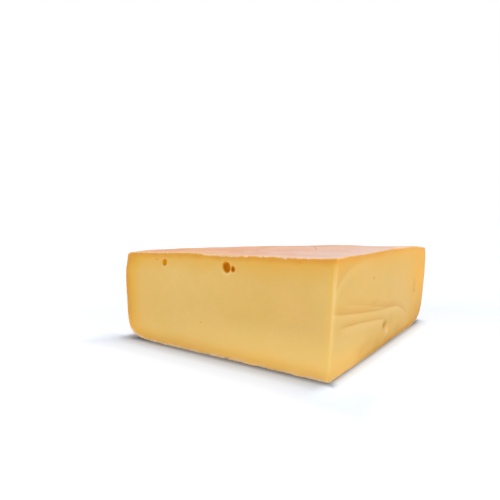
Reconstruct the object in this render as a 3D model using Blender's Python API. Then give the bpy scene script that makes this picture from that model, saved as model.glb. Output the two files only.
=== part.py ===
"""A wedge of washed-rind cheese: a quarter of a round wheel, lying on its flat rind.

Metres, +Z up. The wedge stands on z = 0 with its tip towards -Y and its heel towards +Y, and the
origin is the middle of its footprint. One closed solid: two knife-cut faces, two rind faces and the
heel, with the eyes cut into it and the knife's drag marks raised on the right cut.
"""

import math

import bmesh
import bpy
import numpy as np
from mathutils import Matrix, Vector, noise

MM = 0.001

# The wheel and the piece cut from it
WHEEL_RADIUS = 192.3 * MM
WHEEL_HEIGHT = 72 * MM
WEDGE_ANGLE = math.radians(88)
WHEEL_AXIS = Vector((-3.4, -94.3, 0)) * MM
RIGHT_CUT_LEAN = 0.07  # the knife leaned: the right cut moves out by this share of the height
OFF_CENTRE = 0.0127  # the tip is off the wheel's middle: the right cut is longer by this share

# The heel's outline: each corner is a quarter of a superellipse, wide at the base and tight on top
CORNER_POWER = 4.0
BASE_CORNER_RUN = 48 * MM
TOP_CORNER_RUN = 16 * MM
HALF_HEIGHT = WHEEL_HEIGHT / 2
TOP_DROOP = 1.4 * MM

# How finely the wedge is divided: along the radius, up the height and round the heel
RADIUS_STEPS = 31
HEIGHT_STEPS = 26
ROUND_STEPS = 26
OUTLINE_POINTS = 60
WELD_WITHIN = 0.001 * MM
SHARP_ANGLE = math.radians(35)

# Uneven hand-made surfaces
RIND_SWELL = 0.5 * MM
SWELL_STARTS = 2 * MM
SWELL_IS_FULL = 20 * MM
CUT_WANDER = 0.5 * MM
RAGGED_RIM = 0.6 * MM
TORN_ABOVE = WHEEL_HEIGHT - 6 * MM
TORN_FULLY_ABOVE = WHEEL_HEIGHT - 2 * MM
TORN_BELOW = 4 * MM
FLAT_WITHIN = 0.02 * MM
ON_CUT = 0.001  # a vertex within this share of the wedge's angle is on the cut face

# Drag marks on the right cut: where each line runs, as (distance from the tip, height), how high
# the cheese below the line stands out and how far down that step fades
DRAG_MARKS = (
    (((-12, 42.5), (12, 38.1), (43, 33.7), (70, 30.4), (96, 27.9), (118, 26.2), (135, 20.3)), 0.5, 8.0),
    (((14, 43.9), (36, 40.1), (61, 35.3), (91, 29.5), (118, 26.2)), 0.3, 4.0),
    (((7, 29.8), (17, 29.7), (41, 27.5), (59, 25.4), (75, 23.2), (91, 20.6)), 0.6, 7.0),
)
DRAG_EDGE = 1.2 * MM  # half the width of the step along a mark
DRAG_FADE_IN = 12 * MM

# Eyes and nicks in the cut faces: side, distance from the tip, height, half width, half height, depth
EYES = {
    "eye_large": ("left", 76.7, 63.8, 3.2, 3.8, 4.2),
    "eye_beside_large": ("left", 71.2, 62.8, 1.7, 2.3, 2.4),
    "eye_near_heel": ("left", 139.3, 64.8, 2.4, 2.8, 3.2),
    "dimple_low": ("left", 102.1, 23.1, 1.4, 1.3, 0.9),
    "nick_low": ("right", 89.2, 17.0, 2.2, 3.2, 1.6),
    "crack_at_heel": ("right", 162.8, 36.5, 0.9, 4.6, 0.9),
}
EYE_UNEVENNESS = 0.12

PASTE = ("paste", (0.80, 0.50, 0.15), 0.45)


def clear_scene():
    for thing in list(bpy.data.objects):
        bpy.data.objects.remove(thing)


def collection(name):
    made = bpy.data.collections.new(name)
    bpy.context.scene.collection.children.link(made)
    return made


def material(name, color, roughness):
    made = bpy.data.materials.new(name)
    made.use_nodes = True
    shader = made.node_tree.nodes["Principled BSDF"]
    shader.inputs["Base Color"].default_value = (*color, 1)
    shader.inputs["Roughness"].default_value = roughness
    shader.inputs["Metallic"].default_value = 0
    return made


def smooth(value, low, high):
    """0 below low, 1 above high, and an S curve between."""
    share = np.clip((value - low) / (high - low), 0, 1)
    return share * share * (3 - 2 * share)


def corner(run, turn):
    """A superellipse corner as (radius, rise): turn is 0 at the flat face and 90 degrees at the wall."""
    power = 2 / CORNER_POWER
    radius = WHEEL_RADIUS - run + run * np.sin(turn) ** power
    rise = HALF_HEIGHT * (1 - np.cos(turn) ** power)
    return radius, rise


def droop(radius):
    return TOP_DROOP * (radius / WHEEL_RADIUS) ** 4


def even_steps(radius, height, steps):
    """The outline given by these points, as steps + 1 points at equal distances along it."""
    along = np.concatenate([[0], np.cumsum(np.hypot(np.diff(radius), np.diff(height)))])
    wanted = np.linspace(0, along[-1], steps + 1)
    return np.stack([np.interp(wanted, along, radius), np.interp(wanted, along, height)], axis=1)


def profile_borders():
    """The four sides of the wheel's half section, base, top, axis and heel, as (radius, height) points."""
    flat = np.linspace(0, 1, OUTLINE_POINTS)[:-1]
    first = np.linspace(0, math.pi / 4, OUTLINE_POINTS)
    second = np.linspace(math.pi / 4, math.pi / 2, OUTLINE_POINTS)

    radius, rise = corner(BASE_CORNER_RUN, first)
    base = even_steps(
        np.append(flat * radius[0], radius), np.append(flat * 0, rise), RADIUS_STEPS
    )
    radius, rise = corner(TOP_CORNER_RUN, first)
    radius = np.append(flat * radius[0], radius)
    height = WHEEL_HEIGHT - np.append(flat * 0, rise) - droop(radius)
    top = even_steps(radius, height, RADIUS_STEPS)

    low_radius, low_rise = corner(BASE_CORNER_RUN, second)
    high_radius, high_rise = corner(TOP_CORNER_RUN, second[::-1])
    high = WHEEL_HEIGHT - high_rise
    high -= droop(high_radius) * smooth(HALF_HEIGHT - high_rise, 0, HALF_HEIGHT)
    high[-1] = top[-1, 1]
    heel = even_steps(
        np.append(low_radius, high_radius), np.append(low_rise, high), HEIGHT_STEPS
    )
    axis = np.stack([np.zeros(HEIGHT_STEPS + 1), np.linspace(0, WHEEL_HEIGHT, HEIGHT_STEPS + 1)], axis=1)
    return base, top, axis, heel


def profile_sheet():
    """Fills the half section with a grid, blended between its four borders (a Coons patch)."""
    base, top, axis, heel = profile_borders()
    out = np.linspace(0, 1, RADIUS_STEPS + 1)[:, None, None]
    up = np.linspace(0, 1, HEIGHT_STEPS + 1)[None, :, None]
    between_rows = (1 - up) * base[:, None] + up * top[:, None]
    between_columns = (1 - out) * axis[None] + out * heel[None]
    corners = (1 - out) * ((1 - up) * base[0] + up * top[0]) + out * ((1 - up) * base[-1] + up * top[-1])
    return between_rows + between_columns - corners


def spin_wedge():
    """The half section as a flat sheet of faces, spun about the wheel's axis into the closed wedge."""
    sheet = profile_sheet()
    mesh = bmesh.new()
    bmesh.ops.create_grid(mesh, x_segments=RADIUS_STEPS, y_segments=HEIGHT_STEPS, size=0.5)
    start = math.pi / 2 - WEDGE_ANGLE / 2
    for vertex in mesh.verts:
        out = round((vertex.co.x + 0.5) * RADIUS_STEPS)
        up = round((vertex.co.y + 0.5) * HEIGHT_STEPS)
        radius, height = sheet[out, up]
        vertex.co = (radius * math.cos(start), radius * math.sin(start), height)
    bmesh.ops.spin(
        mesh,
        geom=mesh.verts[:] + mesh.edges[:] + mesh.faces[:],
        cent=(0, 0, 0),
        axis=(0, 0, 1),
        angle=WEDGE_ANGLE,
        steps=ROUND_STEPS,
    )
    bmesh.ops.remove_doubles(mesh, verts=mesh.verts, dist=WELD_WITHIN)
    bmesh.ops.recalc_face_normals(mesh, faces=mesh.faces)
    return mesh


def cut_direction(side):
    """The way a cut face runs from the tip, and the way it faces."""
    turn = WEDGE_ANGLE / 2 if side == "left" else -WEDGE_ANGLE / 2
    run = Vector((-math.sin(turn), math.cos(turn), 0))
    face = Vector((-run.y, run.x, 0)) if side == "left" else Vector((run.y, -run.x, 0))
    return run, face


def lean(point, radius, right_share):
    """How far the leaning right cut carries a point: fully on that cut and not at all on the left one."""
    run_left, _ = cut_direction("left")
    _, face_right = cut_direction("right")
    at_tip = -run_left / math.sin(WEDGE_ANGLE)
    tip_share = 1 - radius / WHEEL_RADIUS
    at_heel = right_share * face_right
    return point.z * RIGHT_CUT_LEAN * (tip_share * at_tip + (1 - tip_share) * at_heel)


def rind_swell(point, radius, turn):
    """Slow waves of the rind: up and down on the top, in and out on the heel, none where it stands."""
    off_floor = float(smooth(point.z, SWELL_STARTS, SWELL_IS_FULL))
    on_top = (point.z / WHEEL_HEIGHT) ** 6
    on_heel = (radius / WHEEL_RADIUS) ** 8
    wave_top = math.sin(31 * point.x + 1.3) * math.cos(43 * point.y + 0.4)
    wave_top += 0.5 * math.sin(77 * point.x - 59 * point.y)
    wave_heel = math.sin(9 * turn + 0.8) + 0.6 * math.sin(21 * turn + 60 * point.z)
    outward = Vector((math.sin(turn), math.cos(turn), 0))
    swell = on_top * wave_top * Vector((0, 0, 1)) + on_heel * wave_heel * outward
    return off_floor * RIND_SWELL * swell


def drag_relief(along, height):
    """How far the right cut stands out at a place on it: a crisp edge along each mark, fading downward."""
    total = 0.0
    for line, stand_out, fade in DRAG_MARKS:
        runs, heights = np.array(line).T * MM
        below = np.interp(along, runs, heights) - height
        ends = smooth(along, runs[0], runs[0] + DRAG_FADE_IN)
        ends *= 1 - smooth(along, runs[-1] - DRAG_FADE_IN, runs[-1])
        step = smooth(below, -DRAG_EDGE, DRAG_EDGE) * (1 - smooth(below, DRAG_EDGE, fade * MM))
        total += stand_out * MM * float(step * ends)
    return total


def cut_relief(side, along, height):
    """The knife's slow wander over a cut face, with the drag marks on the right one."""
    phase = 0.9 if side == "left" else 2.6
    wander = CUT_WANDER * math.sin(34 * along + phase) * math.cos(52 * height + phase)
    return wander + (drag_relief(along, height) if side == "right" else 0)


def ragged_rim(point, face):
    """The torn edges of a cut: up and down along the top rind, in and out along the base."""
    near_top = float(smooth(point.z, TORN_ABOVE, TORN_FULLY_ABOVE))
    near_base = 1 - float(smooth(point.z, 0, TORN_BELOW))
    tear = RAGGED_RIM * noise.noise(point * 130)
    return tear * (near_top * Vector((0, 0, 1)) + near_base * face)


def flatten_base(mesh):
    """Makes the part of the base that lies on the table one flat face."""
    for vertex in mesh.verts:
        if vertex.co.z < FLAT_WITHIN:
            vertex.co.z = 0
    base = [face for face in mesh.faces if all(vertex.co.z == 0 for vertex in face.verts)]
    bmesh.ops.dissolve_faces(mesh, faces=base)


def shape_by_hand(mesh):
    """Moves every vertex of the true wedge to where the uneven real one has it."""
    half = WEDGE_ANGLE / 2
    for vertex in mesh.verts:
        point = vertex.co.copy()
        radius = math.hypot(point.x, point.y)
        turn = math.atan2(point.x, point.y) if radius > 0 else 0.0
        right_share = (turn / half + 1) / 2
        longer = OFF_CENTRE * turn / half
        moved = lean(point, radius, right_share) + rind_swell(point, radius, turn)
        moved += longer * Vector((point.x, point.y, 0))
        for side, on_cut in (("left", right_share < ON_CUT), ("right", right_share > 1 - ON_CUT)):
            if on_cut and radius > 0:
                face = cut_direction(side)[1]
                along = radius * (1 + longer)
                moved += face * cut_relief(side, along, point.z) + ragged_rim(point, face)
        vertex.co = point + moved + WHEEL_AXIS


def eye_cutter(name, side, along, height, half_width, half_height, depth, home):
    """A blunt, slightly uneven bubble sunk into a cut face."""
    run, face = cut_direction(side)
    outward = cut_relief(side, along * MM, height * MM)
    outward += RIGHT_CUT_LEAN * height * MM if side == "right" else 0
    centre = WHEEL_AXIS + run * along * MM + face * outward + Vector((0, 0, height * MM))
    mesh = bmesh.new()
    bmesh.ops.create_icosphere(mesh, subdivisions=3, radius=1)
    axes = Matrix((run * half_width, face * depth, Vector((0, 0, half_height)))).transposed() * MM
    for vertex in mesh.verts:
        uneven = 1 + EYE_UNEVENNESS * noise.noise(vertex.co * 1.7 + Vector((along, height, 0)))
        vertex.co = centre + axes @ (vertex.co * uneven)
    if axes.determinant() < 0:
        bmesh.ops.reverse_faces(mesh, faces=mesh.faces)
    cutter = mesh_object(name, mesh, home)
    cutter.hide_render = True
    cutter.display_type = "WIRE"
    return cutter


def mesh_object(name, mesh, home):
    data = bpy.data.meshes.new(name)
    mesh.to_mesh(data)
    mesh.free()
    made = bpy.data.objects.new(name, data)
    home.objects.link(made)
    return made


def main():
    clear_scene()
    wedge_home = collection("cheese_wedge_parts")
    cutter_home = collection("eye_cutters")
    mesh = spin_wedge()
    shape_by_hand(mesh)
    flatten_base(mesh)
    wedge = mesh_object("cheese_wedge", mesh, wedge_home)
    wedge.data.materials.append(material(*PASTE))
    wedge.data.shade_smooth()
    wedge.data.set_sharp_from_angle(angle=SHARP_ANGLE)
    for name, place in EYES.items():
        eye_cutter(name, *place, cutter_home)
    eyes = wedge.modifiers.new("eyes", "BOOLEAN")
    eyes.operation = "DIFFERENCE"
    eyes.operand_type = "COLLECTION"
    eyes.collection = cutter_home
    eyes.solver = "EXACT"


main()
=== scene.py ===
# %% [markdown]
# # A wedge of washed-rind cheese
#
# The object is a quarter of a round wheel of semi-hard cheese, lying on its flat rind. This lesson
# starts from the imported solid of the wedge and dresses it: a finer mesh of the same form, with real
# eyes, knife marks and torn rims, and two finishes worked out from nodes, one for the pale yellow
# paste and one for the mottled, orange-pink rind.
#
# The solid comes in first.

# %% Load the solid
import math

import bpy
import numpy as np
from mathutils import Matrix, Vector


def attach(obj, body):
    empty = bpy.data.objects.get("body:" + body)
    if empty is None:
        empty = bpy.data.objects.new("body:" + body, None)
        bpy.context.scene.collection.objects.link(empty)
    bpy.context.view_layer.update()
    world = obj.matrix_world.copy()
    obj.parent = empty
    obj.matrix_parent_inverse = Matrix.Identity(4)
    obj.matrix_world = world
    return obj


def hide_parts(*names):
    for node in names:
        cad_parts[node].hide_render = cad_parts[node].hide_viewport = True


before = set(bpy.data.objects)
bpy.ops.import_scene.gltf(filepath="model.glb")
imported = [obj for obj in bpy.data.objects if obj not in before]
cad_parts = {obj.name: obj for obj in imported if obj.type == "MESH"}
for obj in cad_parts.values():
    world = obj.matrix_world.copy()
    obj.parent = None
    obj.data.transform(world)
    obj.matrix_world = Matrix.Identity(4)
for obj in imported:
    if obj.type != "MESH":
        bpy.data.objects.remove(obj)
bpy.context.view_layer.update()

# %% [markdown]
# ## The sizes of the wheel
#
# A cheesemaker knows this piece by the wheel it came from, so its sizes are the wheel's: 385 mm
# across and 72 mm tall. The knife made a wedge of 88 degrees, leaned a little on the right cut, and
# met the other cut just off the wheel's middle. The tip points towards -Y, and the heel towards +Y.

# %% Wheel and wedge
MM = 0.001
WHEEL_RADIUS = 192.3 * MM
WHEEL_HEIGHT = 72 * MM
HALF_HEIGHT = WHEEL_HEIGHT / 2
WEDGE_ANGLE = math.radians(88)
HALF_ANGLE = WEDGE_ANGLE / 2
WHEEL_AXIS = np.array([-3.4, -94.3, 0]) * MM
RIGHT_CUT_LEAN = 0.07
OFF_CENTRE = 0.0127


def smooth(value, low, high):
    """0 below low, 1 above high, and between them the S curve 3 x^2 - 2 x^3 of the share x of the way."""
    share = np.clip((value - low) / (high - low), 0, 1)
    return share * share * (3 - 2 * share)


print(f"wheel {2 * WHEEL_RADIUS / MM:.0f} x {WHEEL_HEIGHT / MM:.0f} mm")

# %% [markdown]
# ## The outline of the heel
#
# A young wheel sags while it ripens: its lower corner runs out wide and its upper corner stays tight.
# Both could be arcs, but an arc starts and stops abruptly. A quarter of a superellipse of power 4 is
# flatter at its ends and fuller in its corner, as the real section is. The top also droops slightly
# towards the rim.

# %% Corners of the section
CORNER_POWER = 4.0
BASE_CORNER_RUN = 48 * MM
TOP_CORNER_RUN = 16 * MM
TOP_DROOP = 1.4 * MM
QUARTER = math.pi / 2


def corner(run, turn):
    """radius = R - run + run * sin(turn)^(2/p) and rise = half the height * (1 - cos(turn)^(2/p))."""
    radius = WHEEL_RADIUS - run + run * np.sin(turn) ** (2 / CORNER_POWER)
    rise = HALF_HEIGHT * (1 - np.cos(turn) ** (2 / CORNER_POWER))
    return radius, rise


def low_corner(turn):
    radius, rise = corner(BASE_CORNER_RUN, turn)
    return np.stack([radius, rise], axis=1)


def high_corner(turn):
    """The top corner, lowered by the droop (radius / R)^4, which fades out on the way down the heel."""
    radius, rise = corner(TOP_CORNER_RUN, turn)
    droop = TOP_DROOP * (radius / WHEEL_RADIUS) ** 4 * smooth(HALF_HEIGHT - rise, 0, HALF_HEIGHT / 2)
    return np.stack([radius, WHEEL_HEIGHT - rise - droop], axis=1)


def half_section(samples=400):
    """The base, heel and top of the section as dense (radius, height) curves, split at mid-corner."""
    first = np.linspace(0, QUARTER / 2, samples)
    second = np.linspace(QUARTER / 2, QUARTER, samples)
    flat = np.linspace(0, 1, samples)[:-1, None]
    base_corner = low_corner(first)
    base = np.concatenate([flat * base_corner[0], base_corner])
    heel = np.concatenate([low_corner(second), high_corner(second[::-1])])
    top_corner = high_corner(first)
    level = np.array([0, WHEEL_HEIGHT])
    drooped = level + flat * (top_corner[0] - level)
    drooped[:, 1] = WHEEL_HEIGHT - TOP_DROOP * (drooped[:, 0] / WHEEL_RADIUS) ** 4
    top = np.concatenate([drooped, top_corner])
    return base, heel, top


base_curve, heel_curve, top_curve = half_section()
print("section ends:", base_curve[-1] / MM, heel_curve[-1] / MM, top_curve[-1] / MM)

# %% [markdown]
# ## Where the grid is fine
#
# One closed mesh carries the whole wedge: two sheets for the cuts, and one strip that is the section's
# outline turned about the axis, for base, heel and top. An even grid fine enough for the eyes would be
# far too heavy, so its lines are drawn closer only where something small happens: at the rims, at the
# tip, through the eyes near the top and across the knife's marks.

# %% Spacing of the grid lines


def spaced(start, *stretches):
    """Places in mm. Each stretch (end, step) goes on from the last end in even steps of about that size."""
    places = [np.array([start], float)]
    for end, step in stretches:
        count = max(1, round((end - places[-1][-1]) / step))
        places.append(np.linspace(places[-1][-1], end, count + 1)[1:])
    return np.concatenate(places)


ALONG_LINES = spaced(
    0, (2.4, 0.3), (65, 1.05), (83, 0.42), (129, 1.05), (145, 0.45), (178, 1.05), (182, 0.35)
)
UP_LINES = spaced(0, (1.5, 0.25), (14, 0.9), (46, 0.6), (57, 1.1), (68.5, 0.42), (72, 0.3))
ROUND_LINES = spaced(0, (1.2, 0.3), (6, 1.0), (285.8, 5.6), (290.6, 1.0), (291.8, 0.3))
along_share = ALONG_LINES / ALONG_LINES[-1]
up_share = UP_LINES / UP_LINES[-1]
turns = (ROUND_LINES / ROUND_LINES[-1] - 0.5) * WEDGE_ANGLE
print("lines along, up and round:", len(along_share), len(up_share), len(turns))

# %% [markdown]
# ## The true wedge, before any unevenness
#
# The section is filled by a Coons patch: each inner point is the blend between base and top, plus the
# blend between axis and heel, minus what both count twice. Its four borders are then exactly the
# curves above. The strip uses the same border points, so the seams match and are welded shut.

# %% Sheets, strip and weld


def travel(curve, shares):
    """The points at these shares of a curve's length."""
    steps = np.hypot(*np.diff(curve, axis=0).T)
    length = np.concatenate([[0], np.cumsum(steps)])
    wanted = shares * length[-1]
    return np.stack([np.interp(wanted, length, curve[:, 0]), np.interp(wanted, length, curve[:, 1])], axis=1)


def coons_sheet():
    """(1-v) base + v top + (1-u) axis + u heel - the bilinear blend of the corners, as (radius, height)."""
    base = travel(base_curve, along_share)
    top = travel(top_curve, along_share)
    heel = travel(heel_curve, up_share)
    axis = np.stack([up_share * 0, up_share * WHEEL_HEIGHT], axis=1)
    u = along_share[:, None, None]
    v = up_share[None, :, None]
    rows = (1 - v) * base[:, None] + v * top[:, None]
    columns = (1 - u) * axis[None] + u * heel[None]
    corners = (1 - u) * ((1 - v) * base[0] + v * top[0]) + u * ((1 - v) * base[-1] + v * top[-1])
    outline = np.concatenate([base, heel[1:-1], top[::-1]])
    return rows + columns - corners, outline


def wheel_point(radius, turn, height):
    """x = radius sin(turn), y = radius cos(turn), z = height."""
    return np.stack([radius * np.sin(turn), radius * np.cos(turn), height], axis=-1)


def grid_faces(rows, columns, start):
    index = start + np.arange(rows * columns).reshape(rows, columns)
    around = [index[:-1, :-1], index[1:, :-1], index[1:, 1:], index[:-1, 1:]]
    return np.stack(around, axis=-1).reshape(-1, 4)


def weld(points, quads):
    """Merges points that coincide, and turns quads that lost a side into triangles."""
    keys = np.round(points / (0.001 * MM)).astype(np.int64)
    _, kept, merged = np.unique(keys, axis=0, return_index=True, return_inverse=True)
    quads = merged.reshape(-1)[quads]
    same = quads == np.roll(quads, -1, axis=1)
    whole = quads[~same.any(axis=1)]
    thin = quads[same.sum(axis=1) == 1]
    lost = np.argmax(same[same.sum(axis=1) == 1], axis=1)
    keep = (lost[:, None] + np.array([1, 2, 3])) % 4
    triangles = np.take_along_axis(thin, keep, axis=1)
    return points[kept], merged.reshape(-1), whole, triangles


sheet, outline = coons_sheet()
sheet_size = sheet.shape[0] * sheet.shape[1]
radius_of, height_of = sheet.reshape(-1, 2).T
left_sheet = wheel_point(radius_of, -HALF_ANGLE, height_of)
right_sheet = wheel_point(radius_of, HALF_ANGLE, height_of)
strip = wheel_point(outline[:, None, 0], turns[None], outline[:, None, 1] + 0 * turns[None]).reshape(-1, 3)
all_points = np.concatenate([left_sheet, right_sheet, strip])
all_quads = np.concatenate([
    grid_faces(*sheet.shape[:2], 0)[:, ::-1],
    grid_faces(*sheet.shape[:2], sheet_size),
    grid_faces(len(outline), len(turns), 2 * sheet_size),
])
true_points, merged, quads, triangles = weld(all_points, all_quads)
print("points:", len(true_points), "quads:", len(quads), "triangles:", len(triangles))

# %% [markdown]
# ## What each point knows about itself
#
# Everything that follows asks the same few questions of a point: which surface it lies on, how far it
# is from the rind and from each cut, and which way those surfaces face. They are answered once, on
# the true wedge. The signed distance from the rim, `rim_reach`, is kept on the mesh for the finishes:
# it is below zero on the cuts and above zero on the rind.

# %% Distances and directions


def belongs(first, count):
    """True for each welded point that one of these original points became."""
    flags = np.zeros(len(true_points), bool)
    flags[merged[first : first + count]] = True
    return flags


def nearest_outline(points_2d, outline_2d):
    """For each section point, the nearest outline point and the distance to it."""
    nearest = np.empty(len(points_2d), int)
    for some in np.array_split(np.arange(len(points_2d)), 12):
        apart = np.hypot(*(points_2d[some, None] - outline_2d[None]).transpose(2, 0, 1))
        nearest[some] = apart.argmin(axis=1)
    return nearest, np.hypot(*(points_2d - outline_2d[nearest]).T)


on_left = belongs(0, sheet_size)
on_right = belongs(sheet_size, sheet_size)
on_rind = belongs(2 * sheet_size, len(strip))
radius = np.hypot(true_points[:, 0], true_points[:, 1])
height = true_points[:, 2]
turn = np.where(radius > 0, np.arctan2(true_points[:, 0], true_points[:, 1]), 0)
left_gap = radius * np.sin(np.clip(HALF_ANGLE + turn, 0, None))
right_gap = radius * np.sin(np.clip(HALF_ANGLE - turn, 0, None))

nearest, rind_gap = nearest_outline(np.stack([radius, height], axis=1), outline)
rind_gap[on_rind] = 0
slope = np.gradient(outline, axis=0)
slope /= np.hypot(*slope.T)[:, None]
rind_face = wheel_point(slope[nearest, 1], turn, -slope[nearest, 0])
rim_reach = np.where(on_rind, np.minimum(left_gap, right_gap), -rind_gap)

left_run = np.array([-math.sin(HALF_ANGLE), math.cos(HALF_ANGLE), 0])
right_run = np.array([math.sin(HALF_ANGLE), math.cos(HALF_ANGLE), 0])
left_face = np.array([-left_run[1], left_run[0], 0])
right_face = np.array([right_run[1], -right_run[0], 0])
UP = np.array([0, 0, 1.0])
print("deepest point under the rind:", round(float(rind_gap.max()) / MM, 1), "mm")

# %% [markdown]
# ## The lean of the knife
#
# The right cut leans outwards as it rises, and the tip edge leans with it, sliding along the left cut.
# The tip also missed the wheel's middle, so the right cut is longer than the left one. Features of a
# cut are placed by their distance from the tip after this shift, as a ruler on the cheese gives it.

# %% Lean and off-centre cuts


def hand_shift():
    """Lean x height, outwards on the right cut and backwards at the tip, plus a share of the radius."""
    at_tip = -left_run / math.sin(WEDGE_ANGLE)
    tip_share = (1 - radius / WHEEL_RADIUS)[:, None]
    right_share = ((turn / HALF_ANGLE + 1) / 2)[:, None]
    direction = tip_share * at_tip + (1 - tip_share) * right_share * right_face
    leaning = (height * RIGHT_CUT_LEAN)[:, None] * direction
    longer = (OFF_CENTRE * turn / HALF_ANGLE)[:, None]
    return leaning + longer * true_points * np.array([1, 1, 0])


shift = hand_shift()
left_along = (true_points + shift) @ left_run
right_along = (true_points + shift) @ right_run
cuts = {
    "left": (on_left, left_along, left_run, left_face),
    "right": (on_right, right_along, right_run, right_face),
}
for side, (_, along, _, _) in cuts.items():
    print(side, "cut runs to", round(float(along.max()) / MM, 1), "mm")

# %% [markdown]
# ## Soft edges
#
# Cheese has no razor edge. The tip is worn to a radius of about a millimetre and a half, and there it
# catches a pale line of light, which the paste's finish also paints on as a painted highlight. The
# rims are tighter. A Bevel modifier would cut across the fine grid, so the edge points are slid onto a
# fillet instead: a point at distance a from the edge goes to the angle 45 * (1 - a / r) degrees of the arc.

# %% Fillets
TIP_FILLET = 1.5 * MM
RIM_FILLET = 0.8 * MM


def fillet(away, size):
    """How far a point slides along its face, and sinks, when its edge is rounded to a quarter circle."""
    angle = math.pi / 4 * (1 - np.clip(away / size, 0, 1))
    slide = np.where(away < size, size * (1 - np.sin(angle)) - away, 0)
    return slide, size * (1 - np.cos(angle))


def rounded(on_a, face_a, gap_a, on_b, face_b, gap_b, size):
    """The moves that round the edge between surfaces a and b, for the points on either."""
    slide, sink = fillet(gap_b, size)
    move = np.where(on_a[:, None], -face_a * sink[:, None] - face_b * slide[:, None], 0)
    slide, sink = fillet(gap_a, size)
    only_b = on_b & ~on_a
    return move + np.where(only_b[:, None], -face_b * sink[:, None] - face_a * slide[:, None], 0)


edge_moves = rounded(on_left, left_face, left_gap, on_right, right_face, right_gap, TIP_FILLET)
edge_moves += rounded(on_left, left_face, left_gap, on_rind, rind_face, rind_gap, RIM_FILLET)
edge_moves += rounded(on_right, right_face, right_gap, on_rind, rind_face, rind_gap, RIM_FILLET)
print("largest fillet move:", round(float(np.abs(edge_moves).max()) / MM, 2), "mm")

# %% [markdown]
# ## Eyes
#
# The eyes are bubbles of gas that the knife opened: smooth bowls with a mouth of 3 to 8 mm. A Boolean
# could cut them, but would break up the grid round them. Here the disc of points inside each mouth is
# stretched over a bowl instead, a cap of a ball that is 74 degrees steep at the mouth. Pinholes, a
# nick and a fine crack are made the same way, only shallower. How dark each eye is painted inside is
# kept for the finish, as painted shade, and so is a paler tone below each mouth on the left cut.

# %% Bubbles in the cuts
# Each eye: side, distance from the tip, height, half width, half height, depth (mm)
EYES = {
    "large": ("left", 76.7, 63.8, 3.5, 3.9, 3.0),
    "beside the large one": ("left", 71.2, 62.8, 1.8, 2.3, 2.5),
    "near the heel": ("left", 139.3, 64.2, 2.7, 2.7, 2.0),
    "pinhole near the heel": ("left", 148.2, 66.4, 0.9, 0.8, 0.8),
    "dimple": ("left", 102.2, 23.0, 1.2, 1.1, 0.7),
    "nick": ("right", 88.6, 17.4, 2.6, 1.6, 0.5),
    "pinhole": ("right", 63.0, 54.3, 1.1, 0.7, 0.5),
    "crack at the heel": ("right", 162.8, 36.5, 3.0, 5.0, 0.12),
}
BOWL_TURN = math.radians(74)
DARKEST_DEPTH = 3
SOFT_LIP = 0.06
SOFT_LIP_REACH = 1.35
EYE_REACH = 1.4


def bubble(east, north, uneven):
    """At share s of the mouth: side sin(s T) / sin T and depth (cos(s T) - cos T) / (1 - cos T)."""
    angle = np.arctan2(north, east)
    mouth = 1 + 0.05 * np.sin(2 * angle + uneven) + 0.025 * np.sin(3 * angle + 2 * uneven)
    share = np.hypot(east, north) / mouth + 1e-6
    inside = share < 1
    round_turn = np.clip(share, 0, 1) * BOWL_TURN
    stretch = np.where(inside, np.sin(round_turn) / (math.sin(BOWL_TURN) * share), 1)
    floor = math.cos(BOWL_TURN)
    depth = np.where(inside, (np.cos(round_turn) - floor) / (1 - floor), 0)
    lip = SOFT_LIP * (1 - smooth(share, 1, SOFT_LIP_REACH))
    return stretch - 1, depth + lip, share


eye_moves = np.zeros_like(true_points)
painted_eye_shade = np.zeros(len(true_points))
paler_below_mouths = np.zeros(len(true_points))
for number, (side, at_along, at_height, half_width, half_height, depth) in enumerate(EYES.values()):
    on_side, along, run, face = cuts[side]
    east = (along - at_along * MM) / (half_width * MM)
    north = (height - at_height * MM) / (half_height * MM)
    grow, sunk, share = bubble(east, north, 1.7 * number)
    near = on_side & (share < EYE_REACH)
    move = np.outer(grow * east * half_width * MM, run) + np.outer(grow * north * half_height * MM, UP)
    move -= np.outer(sunk * depth * MM, face)
    eye_moves[near] += move[near]
    # Painted shade inside each eye: darker where the bowl is deeper, and a little darker on its side towards
    # the heel.
    shaded = np.clip(1.6 * sunk, 0, 1) * min(depth, DARKEST_DEPTH) / DARKEST_DEPTH
    shaded *= 1 + 0.1 * np.clip(east, -1, 1)
    painted_eye_shade[near] = np.maximum(painted_eye_shade[near], shaded[near])
    if side == "left":
        # Below each mouth on the left cut, the paste is made paler.
        paler_below_mouths += on_side * (share > 1) * (1 - smooth(share, 1.1, 1.8)) * np.clip(-north, 0, 1)
print("points in the eyes:", int((painted_eye_shade > 0.1).sum()))

# %% [markdown]
# ## Unevenness of a hand-cut cheese
#
# Random lumps come from value noise: random heights on a cubic lattice, blended by the S curve. The
# same numbers come out each time, because the table of heights has a seed. Three large primes scatter
# the corners of the lattice over that table.

# %% Value noise
PRIMES = np.array([73856093, 19349663, 83492791])
TABLE_SIZE = 4096


def lumps(points, size, seed):
    """Heights from -1 to 1 at the corners of cubes of this size, blended smoothly between them."""
    cells = points / size
    low = np.floor(cells).astype(np.int64)
    share = cells - low
    share = share * share * (3 - 2 * share)
    table = np.random.default_rng(seed).uniform(-1, 1, TABLE_SIZE)
    total = np.zeros(len(points))
    for step in np.ndindex(2, 2, 2):
        mixed = np.bitwise_xor.reduce((low + np.array(step)) * PRIMES, axis=1)
        weight = np.where(np.array(step) == 1, share, 1 - share).prod(axis=1)
        total += weight * table[mixed % TABLE_SIZE]
    return total


def rough(points, size, seed):
    """Two sizes of lumps, the second half as large and half as high."""
    return (lumps(points, size, seed) + 0.5 * lumps(points, size / 2, seed + 1)) / 1.5


print("noise at the first points:", np.round(lumps(true_points[:3], 10 * MM, 1), 2))
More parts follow.
